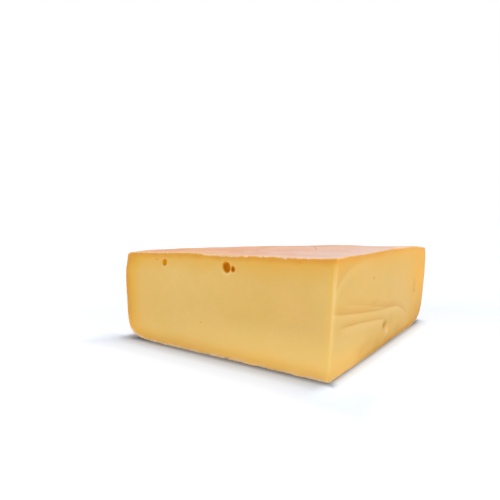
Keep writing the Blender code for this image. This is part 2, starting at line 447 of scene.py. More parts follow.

# %% [markdown]
# ## Knife marks on the right cut
#
# The knife dragged on its way through and left a tongue of raised lines on the right cut. Each line is
# a small step: the cheese just below it stands out by less than half a millimetre and fades back
# further down. The same lines are painted into the finish as light and shade: a painted highlight on
# the raised cheese below each line, and painted shade in the line and above it.

# %% Drag marks
# The lines as (distance from the tip, height), in mm
LONG_LINE = ((-12, 42.5), (12, 38.1), (43, 33.7), (70, 30.4), (96, 27.9), (118, 26.2), (135, 20.3), (150, 13))
UPPER_LINE = ((14, 43.9), (36, 40.1), (61, 35.3), (91, 29.5), (118, 26.2))
LOWER_LINE = ((7, 29.8), (17, 29.7), (41, 27.5), (59, 25.4), (75, 23.2), (93, 20.4))
# Each mark: its line, how far below it the raised cheese fades (mm), and its strength
DRAG_MARKS = ((LONG_LINE, 8, 0.9), (UPPER_LINE, 3, 0.45), (LOWER_LINE, 7, 1.0))
DRAG_HEIGHT = 0.4 * MM
DRAG_EDGE = 0.7 * MM
DRAG_FADE_IN = 14 * MM


def band(value, rise_from, rise_to, fall_from, fall_to):
    """Rises from 0 to 1 along one S curve, and falls back to 0 along a second one."""
    return smooth(value, rise_from, rise_to) * (1 - smooth(value, fall_from, fall_to))


def drag(line, fade):
    """The raised cheese below a mark's line, the dark line itself, and the soft shade above it."""
    runs, heights = np.array(line).T * MM
    below = np.interp(right_along, runs, heights) - height
    ends = band(right_along, runs[0], runs[0] + DRAG_FADE_IN, runs[-1] - DRAG_FADE_IN, runs[-1])
    raised = band(below, -DRAG_EDGE, DRAG_EDGE, DRAG_EDGE, fade * MM)
    crease = band(below, -1.8 * MM, -0.3 * MM, -0.3 * MM, DRAG_EDGE)
    shade_above = band(below, -7 * MM, -1 * MM, -1 * MM, DRAG_EDGE)
    return raised * ends, crease * ends, shade_above * ends


drag_out = np.zeros(len(true_points))
drag_light_and_shade = np.zeros(len(true_points))
for line, fade, strength in DRAG_MARKS:
    raised, crease, shade_above = drag(line, fade)
    drag_out += strength * raised * DRAG_HEIGHT
    # Painted light and shade: lighter on the raised cheese, darker in each line and above it.
    drag_light_and_shade += strength * (0.5 * raised - 0.35 * crease - 0.5 * shade_above)
drag_light_and_shade *= on_right
print("drag marks stand out by up to", round(float(drag_out.max()) / MM, 2), "mm")

# %% [markdown]
# ## Relief of the cuts, the rims and the rind
#
# The cuts wander by half a millimetre. Along the rims the rind tears into small steps. The rind
# swells in slow waves and is finely lumpy. Displace modifiers could do this, but each reaches the
# whole mesh. Here every part of the relief is a move along the face that it belongs to, and none of
# it reaches below the table.

# %% Relief
CUT_WANDER = 0.5 * MM
CUT_GRAIN = 0.05 * MM
RIM_TEAR = 0.4 * MM
LEFT_BASE_TEAR = 1.5
RIGHT_BASE_TEAR = 0.7
RIND_SWELL = 0.5 * MM
RIND_LUMPS = 0.22 * MM


def wander(along, phase):
    """sin(34 x the metres along + phase) x cos(52 x the metres up + phase): waves of 18 and 12 cm."""
    return np.sin(34 * along + phase) * np.cos(52 * height + phase)


cut_grain = CUT_GRAIN * rough(true_points, 5 * MM, 11)
left_out = CUT_WANDER * wander(left_along, 0.9) + cut_grain
right_out = CUT_WANDER * wander(right_along, 2.6) + cut_grain + drag_out

# Slow waves across the top and round the heel
off_table = smooth(height, 2 * MM, 20 * MM)
top_wave = np.sin(31 * true_points[:, 0] + 1.3) * np.cos(43 * true_points[:, 1] + 0.4)
top_wave += 0.5 * np.sin(77 * true_points[:, 0] - 59 * true_points[:, 1])
heel_wave = np.sin(9 * turn + 0.8) + 0.6 * np.sin(21 * turn + 60 * height)
outward = wheel_point(np.ones_like(turn), turn, 0 * turn)
swell = np.outer((height / WHEEL_HEIGHT) ** 6 * top_wave, UP)
swell += ((radius / WHEEL_RADIUS) ** 8 * heel_wave)[:, None] * outward
swell *= (off_table * RIND_SWELL)[:, None]

# The torn rims: roughest along the left cut's base, and finest where the heel meets the cuts
nearer_left = left_gap < right_gap
tear = rough(true_points, 3.2 * MM, 23) + 0.6 * lumps(true_points, 1.3 * MM, 29)
tear += 0.9 * lumps(true_points, 8 * MM, 31)
tear *= RIM_TEAR * (1 - smooth(np.abs(rim_reach), 0.4 * MM, 2.5 * MM))
tear *= 1 - 0.75 * smooth(radius, WHEEL_RADIUS - 12 * MM, WHEEL_RADIUS - 2 * MM)
top_tear = 0.45 + 0.55 * smooth(radius, 60 * MM, 110 * MM)
base_tear = np.where(nearer_left, LEFT_BASE_TEAR, RIGHT_BASE_TEAR)
tear *= np.where(height > HALF_HEIGHT, top_tear, base_tear)
cut_face = np.where(nearer_left[:, None], left_face, right_face)
tear_moves = tear[:, None] * (0.6 * rind_face * off_table[:, None] + 0.8 * cut_face)

lump_moves = (RIND_LUMPS * off_table * on_rind * rough(true_points, 9 * MM, 37))[:, None] * rind_face
print("rims torn by up to", round(float(np.abs(tear_moves).max()) / MM, 2), "mm")

# %% [markdown]
# ## A wheel that isn't quite true
#
# The top stands a little high towards the left heel corner and sags towards the right one, the heel's
# corners are fuller at the left cut, and under its upper corner the heel tapers in. These changes are
# slow and smooth, so each is a formula of the height, the radius and the turn.

# %% Rise, sag and full corners
LEFT_RISE = 1.1 * MM
LEFT_SWELL = 0.8 * MM
RIGHT_SAG = 2.9 * MM
SAG_START = 140 * MM
SAG_RUN = 52 * MM
HEEL_TAPER = 1.7 * MM
TAPER_HEIGHT = 65 * MM
TAPER_REACH = 6 * MM
RIGHT_TAPER_SHARE = 0.55

to_right = turn / HALF_ANGLE
top_rise = LEFT_RISE * smooth(radius, 70 * MM, 150 * MM) * smooth(-to_right, 0, 1)
behind_left = smooth(left_gap, 2 * MM, 16 * MM) * smooth(-to_right, -0.2, 0.6)
top_rise += LEFT_SWELL * behind_left * smooth(radius, 60 * MM, 130 * MM)
top_rise -= RIGHT_SAG * np.clip((radius - SAG_START) / SAG_RUN, 0, 1) ** 2 * smooth(to_right, 0.3, 1)
top_rise *= (height / WHEEL_HEIGHT) ** 3
near_left = smooth(-to_right, 0.2, 1)


def corner_fill(corner_height, upward, amount, reach):
    """Pushes the section out near a corner of its box, by amount x exp(-(distance / reach)^2)."""
    apart = np.hypot(WHEEL_RADIUS - radius, height - corner_height)
    push = amount * np.exp(-((apart / reach) ** 2)) * near_left
    return push[:, None] * (outward + upward * UP)


heel_moves = corner_fill(WHEEL_HEIGHT, upward=1, amount=2.5 * MM, reach=6 * MM)
heel_moves += corner_fill(0, upward=-1, amount=1.9 * MM, reach=10 * MM)
taper = HEEL_TAPER * np.exp(-(((height - TAPER_HEIGHT) / TAPER_REACH) ** 2))
taper *= smooth(radius, 150 * MM, 190 * MM)
near_right = RIGHT_TAPER_SHARE * smooth(to_right, 0.3, 1)
heel_moves -= (taper * (near_left + near_right))[:, None] * outward

points = (
    true_points + shift + heel_moves + edge_moves + eye_moves + swell + tear_moves + lump_moves + WHEEL_AXIS
)
points += np.outer(top_rise, UP)
points += np.outer(left_out * on_left, left_face) + np.outer(right_out * on_right, right_face)
points[:, 2] = np.clip(points[:, 2], 0, None)
print("box in mm:", np.round(points.min(axis=0) / MM, 1), np.round(points.max(axis=0) / MM, 1))

# %% [markdown]
# ## Tones and spots of the cuts
#
# A cut isn't one even yellow. The knife's first stroke left a faint line on the right cut, which also
# has darker and paler spots, and the left cut is painted darker near the tip, as painted shade. Each
# of these is simple enough to be worked out for every point: one tone is above zero where paler and
# holds the painted light and shade of the knife marks, and one spot value is above zero where darker,
# with painted shade over the nick, the pinhole and the crack.

# %% Tones and spots
# The line of the first stroke as (distance from the tip, height), in mm
STROKE_LINE = ((0, 52), (6, 57.9), (12, 61.3), (19, 64.1), (28, 66.3), (51, 69))
stroke_runs, stroke_heights = np.array(STROKE_LINE).T * MM
above_stroke = height - np.interp(right_along, stroke_runs, stroke_heights)
stroke_ends = (1 - smooth(right_along, 45 * MM, 65 * MM)) * on_right
stroke_edge = smooth(above_stroke, -0.6 * MM, 0.6 * MM) * stroke_ends
stroke_pale = band(above_stroke, -9 * MM, -2 * MM, -0.6 * MM, 0.6 * MM) * stroke_ends
# Painted shade: the left cut darker near the tip, from about mid height up.
shade_near_tip = band(radius, 4 * MM, 20 * MM, 50 * MM, 130 * MM) * on_left
shade_near_tip *= smooth(height, 20 * MM, 34 * MM)
# Paler above zero, darker below: the painted light and shade of the knife marks, the paler paste below the
# eyes, the stroke line, and painted shade near the tip.
paste_tone_and_light = drag_light_and_shade + 1.1 * paler_below_mouths - 0.35 * stroke_edge + 0.4 * stroke_pale - 0.16 * shade_near_tip

# Each spot: distance from the tip, height, half width, half height (mm), strength, below 0 where pale
# Darker and paler spots. The ones over the nick, the pinhole and the crack at the heel are painted shade in
# those hollows.
SPOTS = (
    (90, 17.6, 5, 2.8, 0.8),
    (87.2, 15.6, 2.4, 1.8, 0.7),
    (162, 38, 4.2, 5, 0.3),
    (164, 32.3, 2.4, 1.8, 0.6),
    (66, 37, 6, 1.6, 0.25),
    (63, 54.3, 1.3, 0.8, 0.8),
    (96, 10.6, 4, 3, -0.7),
    (104, 18, 7, 5, 0.2),
    (45, 8, 8, 3.5, 0.2),
    (58, 11, 8, 3, 0.18),
    (76, 6, 9, 4, 0.28),
    (97, 5, 8, 3.5, 0.3),
    (122, 7, 9, 4, 0.28),
)
spots_and_hole_shade = np.zeros(len(true_points))
for at_along, at_height, half_width, half_height, strength in SPOTS:
    east = (right_along / MM - at_along) / half_width
    north = (height / MM - at_height) / half_height
    spots_and_hole_shade += strength * np.exp(-(east**2) - north**2) * on_right
print("tone from", round(float(paste_tone_and_light.min()), 2), "to", round(float(paste_tone_and_light.max()), 2))

# %% [markdown]
# ## Ripening and painted light
#
# A wheel ripens from the rind inwards: each rind face colours the paste near it, and the heel reaches
# furthest in. The shares are added, so the corners are the deepest. The lower part of the cuts is
# painted lighter, as painted bounce light from the table, and the right cut is painted warmer, as
# painted light, most of all towards its upper heel corner.

# %% Ripening and painted light
RIPE_POWER = 1.2
FULLY_RIPE = 1.6
FAR_HEEL_REACH = 60 * MM
ripe_wander = 2.5 * MM * rough(true_points, 15 * MM, 41)


def ripened(gap, reach):
    """(1 - gap / reach)^power, the share that one rind face has coloured, 0 beyond its reach."""
    return np.clip(1 - (gap + ripe_wander) / reach, 0, 1) ** RIPE_POWER


heel_gap = WHEEL_RADIUS - radius
upper = smooth(height, 8 * MM, 60 * MM)
right_base_reach = 21 + 3 * smooth(radius, 30 * MM, 80 * MM)
base_reach = np.where(on_right, right_base_reach, 12) * MM
top_reach = (15 + 4 * on_left * (1 - smooth(radius, 30 * MM, 90 * MM))) * MM
yellowing = ripened(WHEEL_HEIGHT - height, top_reach) + ripened(height, base_reach)
yellowing += ripened(heel_gap, np.where(on_right, 52, 20) * MM)
yellowing += 0.5 * ripened(heel_gap, FAR_HEEL_REACH) * np.where(on_right, 0.4 + upper, 1)
yellowing = np.clip(yellowing, 0, FULLY_RIPE)

# Painted light: the lower part of the cuts lighter, as bounce light from the table.
painted_low_light = (1 - smooth(height, 3 * MM, 32 * MM)) * (1 - 0.5 * smooth(radius, 20 * MM, 150 * MM))
painted_low_light *= np.where(on_right, 0.7 - 0.6 * smooth(radius, 15 * MM, 75 * MM), 1)
# Painted light: the right cut warmer, most of all towards its upper heel corner.
painted_warm_light = (0.5 + 0.65 * upper * smooth(radius, 90 * MM, 170 * MM)) * upper**0.5 * on_right
print("ripest point:", round(float(yellowing.max()), 2))

# %% [markdown]
# ## How thick the rind shows
#
# Seen on a cut, the rind is a line of up to two millimetres. Along the left cut's upper rim it flakes
# in two places, which a short table gives, and along its base it varies with noise.

# %% Thickness of the rind
# Along the left cut's upper rim, as (distance from the tip, thickness) in mm
LEFT_TOP_WIDTHS = (
    (0, 0.1), (64, 0.1), (67, 0.8), (74, 0.9), (80, 0.3),
    (86, 0.5), (91, 1.2), (97, 0.9), (103, 0.45), (190, 0.6),
)
RIGHT_BASE_WIDTH = 0.9
left_top_width = np.interp(left_along / MM, *np.array(LEFT_TOP_WIDTHS).T)
right_top_width = 0.3 + 0.9 * smooth(right_along, 95 * MM, 120 * MM)
left_base_width = 1.4 + 0.9 * lumps(true_points, 7 * MM, 43)
top_width = np.where(on_left, left_top_width, right_top_width)
base_width = np.where(on_left, left_base_width, RIGHT_BASE_WIDTH)
rim_width = np.where(height > HALF_HEIGHT, top_width, base_width)
rim_width *= 1 - 0.5 * smooth(radius, WHEEL_RADIUS - 6 * MM, WHEEL_RADIUS - 1 * MM)
print("rind on the cuts:", round(float(rim_width.min()), 2), "to", round(float(rim_width.max()), 2), "mm")

# %% [markdown]
# ## The wedge as one closed mesh
#
# The finishes need to know where they are, so these values go onto the mesh with the points, as
# attributes: the distances from rim and tip in millimetres, the painted shade inside an eye, and the
# tones, spots, ripening and painted light worked out above.

# %% Build the wedge


def make_piece(name, points, faces, values):
    """A mesh object at the origin, with these values on its points."""
    mesh = bpy.data.meshes.new(name)
    mesh.from_pydata(points.tolist(), [], faces)
    for value_name, value in values.items():
        mesh.attributes.new(value_name, "FLOAT", "POINT").data.foreach_set("value", value.astype(np.float32))
    mesh.shade_smooth()
    made = bpy.data.objects.new(name, mesh)
    bpy.context.scene.collection.objects.link(made)
    return made


wedge_values = {
    "rim_reach": rim_reach / MM,
    "painted_eye_shade": painted_eye_shade,
    "paste_tone_and_light": paste_tone_and_light,
    "heel_share": smooth(radius, 180 * MM, 189 * MM) * on_rind,
    "tip_gap": np.where(on_left, right_gap, left_gap) / MM,
    "yellowing": yellowing,
    "painted_low_light": painted_low_light,
    "painted_warm_light": painted_warm_light,
    "rind_age": radius * (1 - 0.5 * to_right) / MM,
    "rim_width": rim_width,
    "spots_and_hole_shade": spots_and_hole_shade,
}
wedge = make_piece("wedge", points, quads.tolist() + triangles.tolist(), wedge_values)
print("wedge:", len(wedge.data.vertices), "points,", 2 * len(quads) + len(triangles), "triangles")

# %% [markdown]
# ## Crumbs and flakes on the rims
#
# The knife leaves crumbs of rind along the rims, thickest on the left cut's lower rim, and flakes hang
# over its upper rim. Each is a small uneven ball, partly sunk into the cheese. They are one mesh, made
# from arrays: the same ball, moved, stretched and turned for each crumb.

# %% Rim crumbs
rng = np.random.default_rng(7)


def ball(rows, columns):
    """A unit ball from pole to pole: its points, and faces closed at the seam and the poles."""
    lift = np.linspace(-QUARTER, QUARTER, rows)[1:-1, None]
    round_it = np.linspace(0, 2 * math.pi, columns, endpoint=False)[None]
    level = np.sin(lift) + 0 * round_it
    ring = np.stack([np.cos(lift) * np.cos(round_it), np.cos(lift) * np.sin(round_it), level], axis=-1)
    points = np.concatenate([ring.reshape(-1, 3), [[0, 0, -1], [0, 0, 1]]])
    at = np.arange((rows - 2) * columns).reshape(rows - 2, columns)
    after = np.roll(at, -1, axis=1)
    sides = np.stack([at[:-1], after[:-1], after[1:], at[1:]], axis=-1).reshape(-1, 4)
    low_pole = np.full(columns, len(points) - 2)
    high_pole = np.full(columns, len(points) - 1)
    low_fan = np.stack([after[0], at[0], low_pole], axis=-1)
    high_fan = np.stack([at[-1], after[-1], high_pole], axis=-1)
    return points, sides, np.concatenate([low_fan, high_fan])


def rim_points(side, rim_name, low, high):
    """Which of the wedge's points lie on this rim of a cut, between two distances from the tip (mm)."""
    rim = np.flatnonzero(cuts[side][0] & on_rind & (radius > low * MM) & (radius < high * MM))
    return rim[(height[rim] > HALF_HEIGHT) == (rim_name == "top")]


# Each band of crumbs: side, rim, from and to along it (mm), how many, size (mm), how wide for its size
CRUMB_BANDS = (
    ("left", "base", 2, 180, 280, 0.4, 1.7),
    ("left", "base", 120, 175, 50, 0.42, 1.6),
    ("left", "top", 5, 182, 90, 0.38, 2.2),
    ("left", "top", 70, 100, 26, 0.62, 2.6),
    ("right", "base", 2, 175, 60, 0.3, 1.6),
    ("right", "top", 5, 182, 40, 0.3, 2.0),
)
ball_points, ball_sides, ball_fans = ball(5, 7)
crumb_points = []
crumb_tones = []
for side, rim_name, low, high, count, size, stretch in CRUMB_BANDS:
    _, _, run, face = cuts[side]
    chosen = points[rng.choice(rim_points(side, rim_name, low, high), count)]
    sizes = size * MM * rng.lognormal(0, 0.35, (count, 1))
    wide = stretch * rng.uniform(0.6, 1.5, count)
    deep = rng.uniform(0.4, 0.7, count)
    tall = rng.uniform(0.6, 1.1, count)
    shape = np.stack([wide, deep, tall], axis=1)
    uneven = 1 + 0.22 * rng.uniform(-1, 1, (count, len(ball_points), 1))
    body = ball_points[None] * uneven * (sizes * shape)[:, None]
    slid = run * rng.uniform(-1, 1, (count, 1)) * MM
    centre = chosen + slid + UP * sizes * (0.5 if rim_name == "base" else -0.35)
    placed = centre[:, None] + body[..., :1] * run + body[..., 1:2] * face + body[..., 2:] * UP
    placed[..., 2] = np.clip(placed[..., 2], 0, None)
    crumb_points.append(placed.reshape(-1, 3))
    tones = rng.uniform(0, 0.5, count) + (0 if rim_name == "base" else 0.5)
    crumb_tones.append(np.repeat(tones, len(ball_points)))
crumb_points = np.concatenate(crumb_points)
starts = np.arange(0, len(crumb_points), len(ball_points))[:, None, None]
crumb_faces = (starts + ball_sides).reshape(-1, 4).tolist() + (starts + ball_fans).reshape(-1, 3).tolist()
crumbs = make_piece("rim_crumbs", crumb_points, crumb_faces, {"crumb_tone": np.concatenate(crumb_tones)})
print("crumbs:", len(starts), "with", len(crumb_faces), "faces")

# %% [markdown]
# ## A short way to write materials
#
# A material is a tree of nodes, but its maths reads best as maths. `Wire` wraps an output socket:
# plus, minus and times on it add Math nodes, `ease` is a smooth step, and `tint` blends two colours.
# Any other node comes from its one method, `node`. Colours are written as a picture shows them, and
# most finishes are a base colour with thin layers of others over it.

# %% Wires


class Wire:
    """An output socket of a node tree, with Python's operators for its maths."""

    def __init__(self, tree, socket=None):
        self.tree = tree
        self.socket = socket

    def node(self, kind, settings, inputs, output=0):
        """Adds a node: its settings are set first, then its sockets get values or links."""
        made = self.tree.nodes.new(kind)
        for name, value in settings.items():
            setattr(made, name, value)
        for name, value in inputs.items():
            if isinstance(value, Wire):
                self.tree.links.new(value.socket, made.inputs[name])
            else:
                made.inputs[name].default_value = value
        return Wire(self.tree, made.outputs[output])

    def math(self, operation, first, second=0.0):
        return self.node("ShaderNodeMath", {"operation": operation}, {0: first, 1: second})

    def __add__(self, other):
        return self.math("ADD", self, other)

    def __sub__(self, other):
        return self.math("SUBTRACT", self, other)

    def __rsub__(self, other):
        return self.math("SUBTRACT", other, self)

    def __mul__(self, other):
        return self.math("MULTIPLY", self, other)

    def __abs__(self):
        return self.math("ABSOLUTE", self)

    __radd__ = __add__
    __rmul__ = __mul__

    def ramp(self, kind, low, high):
        if low > high:
            return 1 - self.ramp(kind, high, low)
        inputs = {"Value": self, "From Min": low, "From Max": high}
        return self.node("ShaderNodeMapRange", {"interpolation_type": kind}, inputs)

    def ease(self, low, high):
        """An S curve from 0 at low to 1 at high, or from 1 down to 0 where low is above high."""
        return self.ramp("SMOOTHSTEP", low, high)

    def fade(self, low, high):
        """A straight ramp from 0 at low to 1 at high, or from 1 down to 0 where low is above high."""
        return self.ramp("LINEAR", low, high)

    def tint(self, plain, full):
        """The colour plain where this value is 0, full where it is 1."""
        inputs = {0: self, 6: shade(plain), 7: shade(full)}
        return self.node("ShaderNodeMix", {"data_type": "RGBA"}, inputs, output=2)

    def noise(self, size, detail=2.0, roughness=0.5, warp=0.0):
        """Noise whose lumps are about this many millimetres across, read at this vector."""
        look = {"Detail": detail, "Roughness": roughness, "Distortion": warp}
        return self.node("ShaderNodeTexNoise", {}, {"Vector": self, "Scale": 1 / (size * MM), **look})

    def cells(self, size, feature="F1"):
        """Distance to the nearest of scattered points that are about this many millimetres apart."""
        inputs = {"Vector": self, "Scale": 1 / (size * MM)}
        return self.node("ShaderNodeTexVoronoi", {"feature": feature}, inputs)

    def vector_math(self, operation, other, output=0):
        return self.node("ShaderNodeVectorMath", {"operation": operation}, {0: self, 1: other}, output)

    def shifted(self, *offset):
        """The same vector, moved, so that a second noise doesn't repeat the first."""
        return self.vector_math("ADD", offset)

    def dot(self, direction):
        """How far this vector reaches in a direction."""
        return self.vector_math("DOT_PRODUCT", direction, "Value")

    def stored(self, name):
        """A value kept on the mesh's points."""
        return self.node("ShaderNodeAttribute", {"attribute_name": name}, {}, output="Fac")

    def place(self):
        """Where a point of the piece is, in metres."""
        return self.node("ShaderNodeTexCoord", {}, {}, output="Object")


def shade(color):
    """A colour as a picture shows it, 0 to 255, as the light that a shader wants. A wire stays."""
    if isinstance(color, Wire):
        return color
    value = np.array(color) / 255
    light = np.where(value > 0.04045, ((value + 0.055) / 1.055) ** 2.4, value / 12.92)
    return (*light.tolist(), 1.0)


def layered(color, *layers):
    """Lays thin layers over a colour, each as (where it lies, how strong it is, its colour)."""
    for mask, strength, over in layers:
        color = (mask * strength).tint(color, over)
    return color


def principled(color, roughness, normal, fixed):
    """The one surface shader used here. Values that are the same all over are set on its own sockets."""
    inputs = {"Base Color": color, "Roughness": roughness, "Normal": normal, **fixed}
    return color.node("ShaderNodeBsdfPrincipled", {}, inputs)


def bumped(height, distance, strength):
    """A normal tilted as if the surface rose this many millimetres where the height is 1."""
    inputs = {"Height": height, "Distance": distance * MM, "Strength": strength}
    return height.node("ShaderNodeBump", {}, inputs)


def dress(piece, name, surface_of):
    """Gives a piece a new material, whose surface comes from a function of the tree's first wire."""
    made = bpy.data.materials.new(name)
    made.use_nodes = True
    for old in list(made.node_tree.nodes):
        made.node_tree.nodes.remove(old)
    output = made.node_tree.nodes.new("ShaderNodeOutputMaterial")
    surface = surface_of(Wire(made.node_tree))
    made.node_tree.links.new(surface.socket, output.inputs["Surface"])
    piece.data.materials.append(made)


print("the paste's colour as light:", np.round(shade((226, 187, 110)), 3))

# %% [markdown]
# ## The paste
#
# The paste is butter yellow and slightly see-through, so its shader scatters light a few millimetres
# below the surface. Towards the rind it turns deeper and more orange, because the wheel dries and
# ripens from outside: a strong amber margin of about 5 mm and the wider, weaker one that the mesh
# carries. These margins are painted lighter low on the cuts and warmer on the right cut, as painted
# light. The insides of the eyes are painted deeper still, as painted shade and bounced light. Slow
# mottling, faint curd grains and a few pinholes break up the rest; the pinholes are painted darker,
# as painted shade.

# %% Paste shader


def paste_shader(start):
    place = start.place()
    tone = start.stored("paste_tone_and_light")
    painted_warm_light = start.stored("painted_warm_light")
    glow = start.stored("painted_low_light")
    yellowing = start.stored("yellowing")
    spots_and_hole_shade = start.stored("spots_and_hole_shade")
    depth = start.stored("painted_eye_shade")

    slow = place.noise(38, detail=1.5).ease(0.35, 0.68)
    patches = place.shifted(3, 1, 2).noise(11, detail=2.5).ease(0.3, 0.72)
    fine = place.shifted(5, 5, 1).noise(1.6, detail=2)
    tip = start.stored("tip_gap") + (place.shifted(2, 6, 6).noise(7, detail=1) - 0.5) * 0.8
    under_rind = (place.shifted(9, 2, 4).noise(9, detail=2) - 0.5) * 3 - start.stored("rim_reach")
    chosen = place.shifted(1, 7, 3).noise(17, detail=0).ease(0.62, 0.66)
    pinhole = place.cells(9).ease(0.075, 0.045) * chosen

    # Painted light: lit copies of the margin colours, lighter low on the cuts and warmer on the right cut.
    low_light = glow.ease(0, 0.8)
    side_light = painted_warm_light.ease(0, 0.8)
    margin = side_light.tint(low_light.tint((224, 171, 66), (248, 190, 84)), (242, 178, 56))
    deep_margin = side_light.tint((214, 148, 46), (244, 180, 70))
    amber = side_light.tint(low_light.tint((216, 152, 54), (255, 199, 112)), (237, 168, 50))
    color = layered(
        slow.tint((224, 186, 108), (220, 183, 102)),
        (patches, 0.35, (230, 190, 114)),
        (fine.ease(0.4, 0.75), 0.2, (216, 174, 94)),
        # Painted light: the right cut warmer.
        (painted_warm_light, 0.6, (237, 179, 64)),
        # Painted light and shade of the knife marks and near the tip, with the other paler and darker tones.
        (tone.fade(0, 1), 0.55, (242, 206, 138)),
        (tone.fade(0, -1), 0.8, (214, 152, 62)),
        (tip.ease(7, 1.5), 0.45, (236, 190, 84)),
        # Painted highlight: a pale line along the tip edge.
        (tip.ease(2.1, 0.8), 0.55, (244, 212, 150)),
        # Painted light: the lower part of the cuts lighter.
        (glow, 0.85, (248, 206, 120)),
        (yellowing.fade(0, 1), 1, margin),
        (yellowing.ease(0.9, 1.6), 0.7, deep_margin),
        (under_rind.ease(5.5, 0.8), 0.9, amber),
        # Darker spots with painted shade in the nick, the pinhole and the crack, then paler spots.
        (spots_and_hole_shade.fade(0, 1), 0.75, (180, 122, 30)),
        (spots_and_hole_shade.ease(0, -1), 0.6, (246, 214, 156)),
        # Painted shade inside the eyes.
        (depth.ease(0.08, 0.5), 1, (224, 150, 8)),
        (depth.ease(0.6, 0.98), 1, (196, 120, 3)),
        # Painted shade in the pinholes.
        (pinhole, 0.3, (176, 118, 40)),
    )

    grains = place.cells(2.6, feature="SMOOTH_F1")
    relief = fine * 0.4 + grains * 0.5 + place.noise(0.5, detail=1) * 0.18 - pinhole * 0.7
    gloss = 0.42 + patches * 0.1 + depth.ease(0.05, 0.3) * 0.4
    fixed = {
        "Subsurface Weight": 0.3,
        "Subsurface Radius": (1.0, 0.45, 0.12),
        "Subsurface Scale": 0.005,
        "IOR": 1.45,
        "Specular IOR Level": 0.15,
    }
    return principled(color, gloss, bumped(relief, 0.12, 0.55), fixed)


print("paste shader ready")

# %% [markdown]
# ## The rind
#
# The wheel was washed with brine while it ripened, which gives a thin salmon-orange rind with a
# white bloom in patches, darker orange ones between, and fine brown specks in its pores. Where two
# cloths met the wheel, thin brown creases stay: one across the middle of the top and one that runs
# outward from it. The heel lay against the mould, so it is smoother and a deeper orange-brown.

# %% Rind shader


def crease(place, line_from, line_to, width):
    """A thin wavering line between two points of the top: 1 on the line, 0 beyond its width (mm)."""
    run = np.array(line_to, float) - np.array(line_from, float)
    length = float(np.hypot(*run))
    run = run / length
    east = place.dot((1 / MM, 0, 0)) - line_from[0]
    north = place.dot((0, 1 / MM, 0)) - line_from[1]
    along = east * run[0] + north * run[1]
    wobble = (place.noise(16, detail=2) - 0.5) * 7
    off = abs(north * run[0] - east * run[1] + wobble)
    beads = place.shifted(2, 2, 2).noise(2.2, detail=1).ease(0.38, 0.6)
    on_top = place.dot((0, 0, 1)).ease(WHEEL_HEIGHT - 12 * MM, WHEEL_HEIGHT - 6 * MM)
    ends = along.ease(0, 6) * along.ease(length, length - 14) * on_top
    return off.ease(width, width * 0.25) * (0.45 + 0.55 * beads) * ends


def rind_shader(start):
    place = start.place()
    reach = start.stored("rim_reach")
    heel = start.stored("heel_share")
    aged = start.stored("rind_age").fade(25, 165)

    clouds = place.noise(42, detail=4, roughness=0.6, warp=0.4)
    bloom = place.shifted(4, 8, 1).noise(24, detail=6, roughness=0.68, warp=0.3).ease(0.46, 0.66)
    blush = place.shifted(1, 3, 9).noise(30, detail=5, roughness=0.62).ease(0.5, 0.7)
    speckle = place.shifted(6, 2, 6).noise(1.5, detail=3, roughness=0.7)
    pores = place.cells(3.4).ease(0.2, 0.1) * place.shifted(8, 1, 1).noise(12, detail=1).ease(0.45, 0.62)
    pale_rim = (reach + (place.noise(14, detail=3) - 0.5) * 16).ease(22, 4)
    across = crease(place, (-62, 8), (58, -6), 0.7)
    creases = across.math("MAXIMUM", across, crease(place, (16, -8), (34, 74), 0.75))
    fringe = (reach + (place.noise(1.8, detail=2) - 0.5) * 1.6).ease(1.3, 0.2)

    cloudy = clouds.ease(0.32, 0.68)
    young_color = cloudy.tint((212, 177, 164), (208, 168, 148))
    old_color = cloudy.tint((218, 150, 98), (207, 134, 82))
    heel_color = clouds.ease(0.35, 0.65).tint((196, 116, 62), (206, 134, 84))
    flaky = start.stored("rim_width").ease(0.3, 0.9)
    fringe_color = layered(
        flaky.tint((214, 172, 118), (236, 202, 156)),
        # Painted light: the fringe lighter low on the cuts and warmer on the right cut.
        (start.stored("painted_low_light").ease(0, 0.2), 1, (255, 208, 148)),
        (start.stored("painted_warm_light").ease(0, 0.3), 1, (248, 190, 132)),
    )
    color = layered(
        aged.tint(young_color, old_color),
        (blush, 0.25 + 0.5 * aged, (204, 128, 82)),
        (bloom, 0.6, aged.tint((216, 190, 178), (216, 174, 138))),
        (pale_rim, 0.45, aged.tint((220, 192, 174), (217, 164, 106))),
        (speckle.ease(0.5, 0.72), 0.3, (190, 126, 88)),
        (speckle.ease(0.46, 0.3), 0.35, (226, 202, 190)),
        (pores, 0.5, (152, 96, 62)),
        (heel, 0.85, (bloom * 0.35).tint(heel_color, (220, 164, 130))),
        (creases, 0.58, (156, 94, 52)),
        (fringe, 0.9, fringe_color),
    )

    relief = speckle * 0.6 + bloom * 0.35 + place.noise(0.7, detail=2) * 0.35 - pores * 0.7 - creases * 1.4
    fixed = {
        "Subsurface Weight": 0.12,
        "Subsurface Radius": (1.0, 0.5, 0.25),
        "Subsurface Scale": 0.002,
        "Specular IOR Level": 0.4,
        "Sheen Weight": 0.15,
        "Sheen Roughness": 0.5,
    }
    return principled(color, 0.62 - heel * 0.14, bumped(relief, 0.3, 0.7), fixed)


print("rind shader ready")

# %% [markdown]
# ## Where rind meets paste
#
# One material holds both finishes, because the border between them isn't an edge of the mesh: the
# rind frays over it in small scallops. A noise with lumps of about two and a half millimetres shifts
# the border to and fro, and the two shaders are mixed there.

# %% Wedge and crumb materials


def cheese_shader(start):
    fray = (start.place().noise(2.4, detail=3, roughness=0.6) - 0.5) * 2.2
    rind_mask = (start.stored("rim_reach") + start.stored("rim_width") + fray).ease(-0.4, 0.4)
    inputs = {0: rind_mask, 1: paste_shader(start), 2: rind_shader(start)}
    return start.node("ShaderNodeMixShader", {}, inputs)


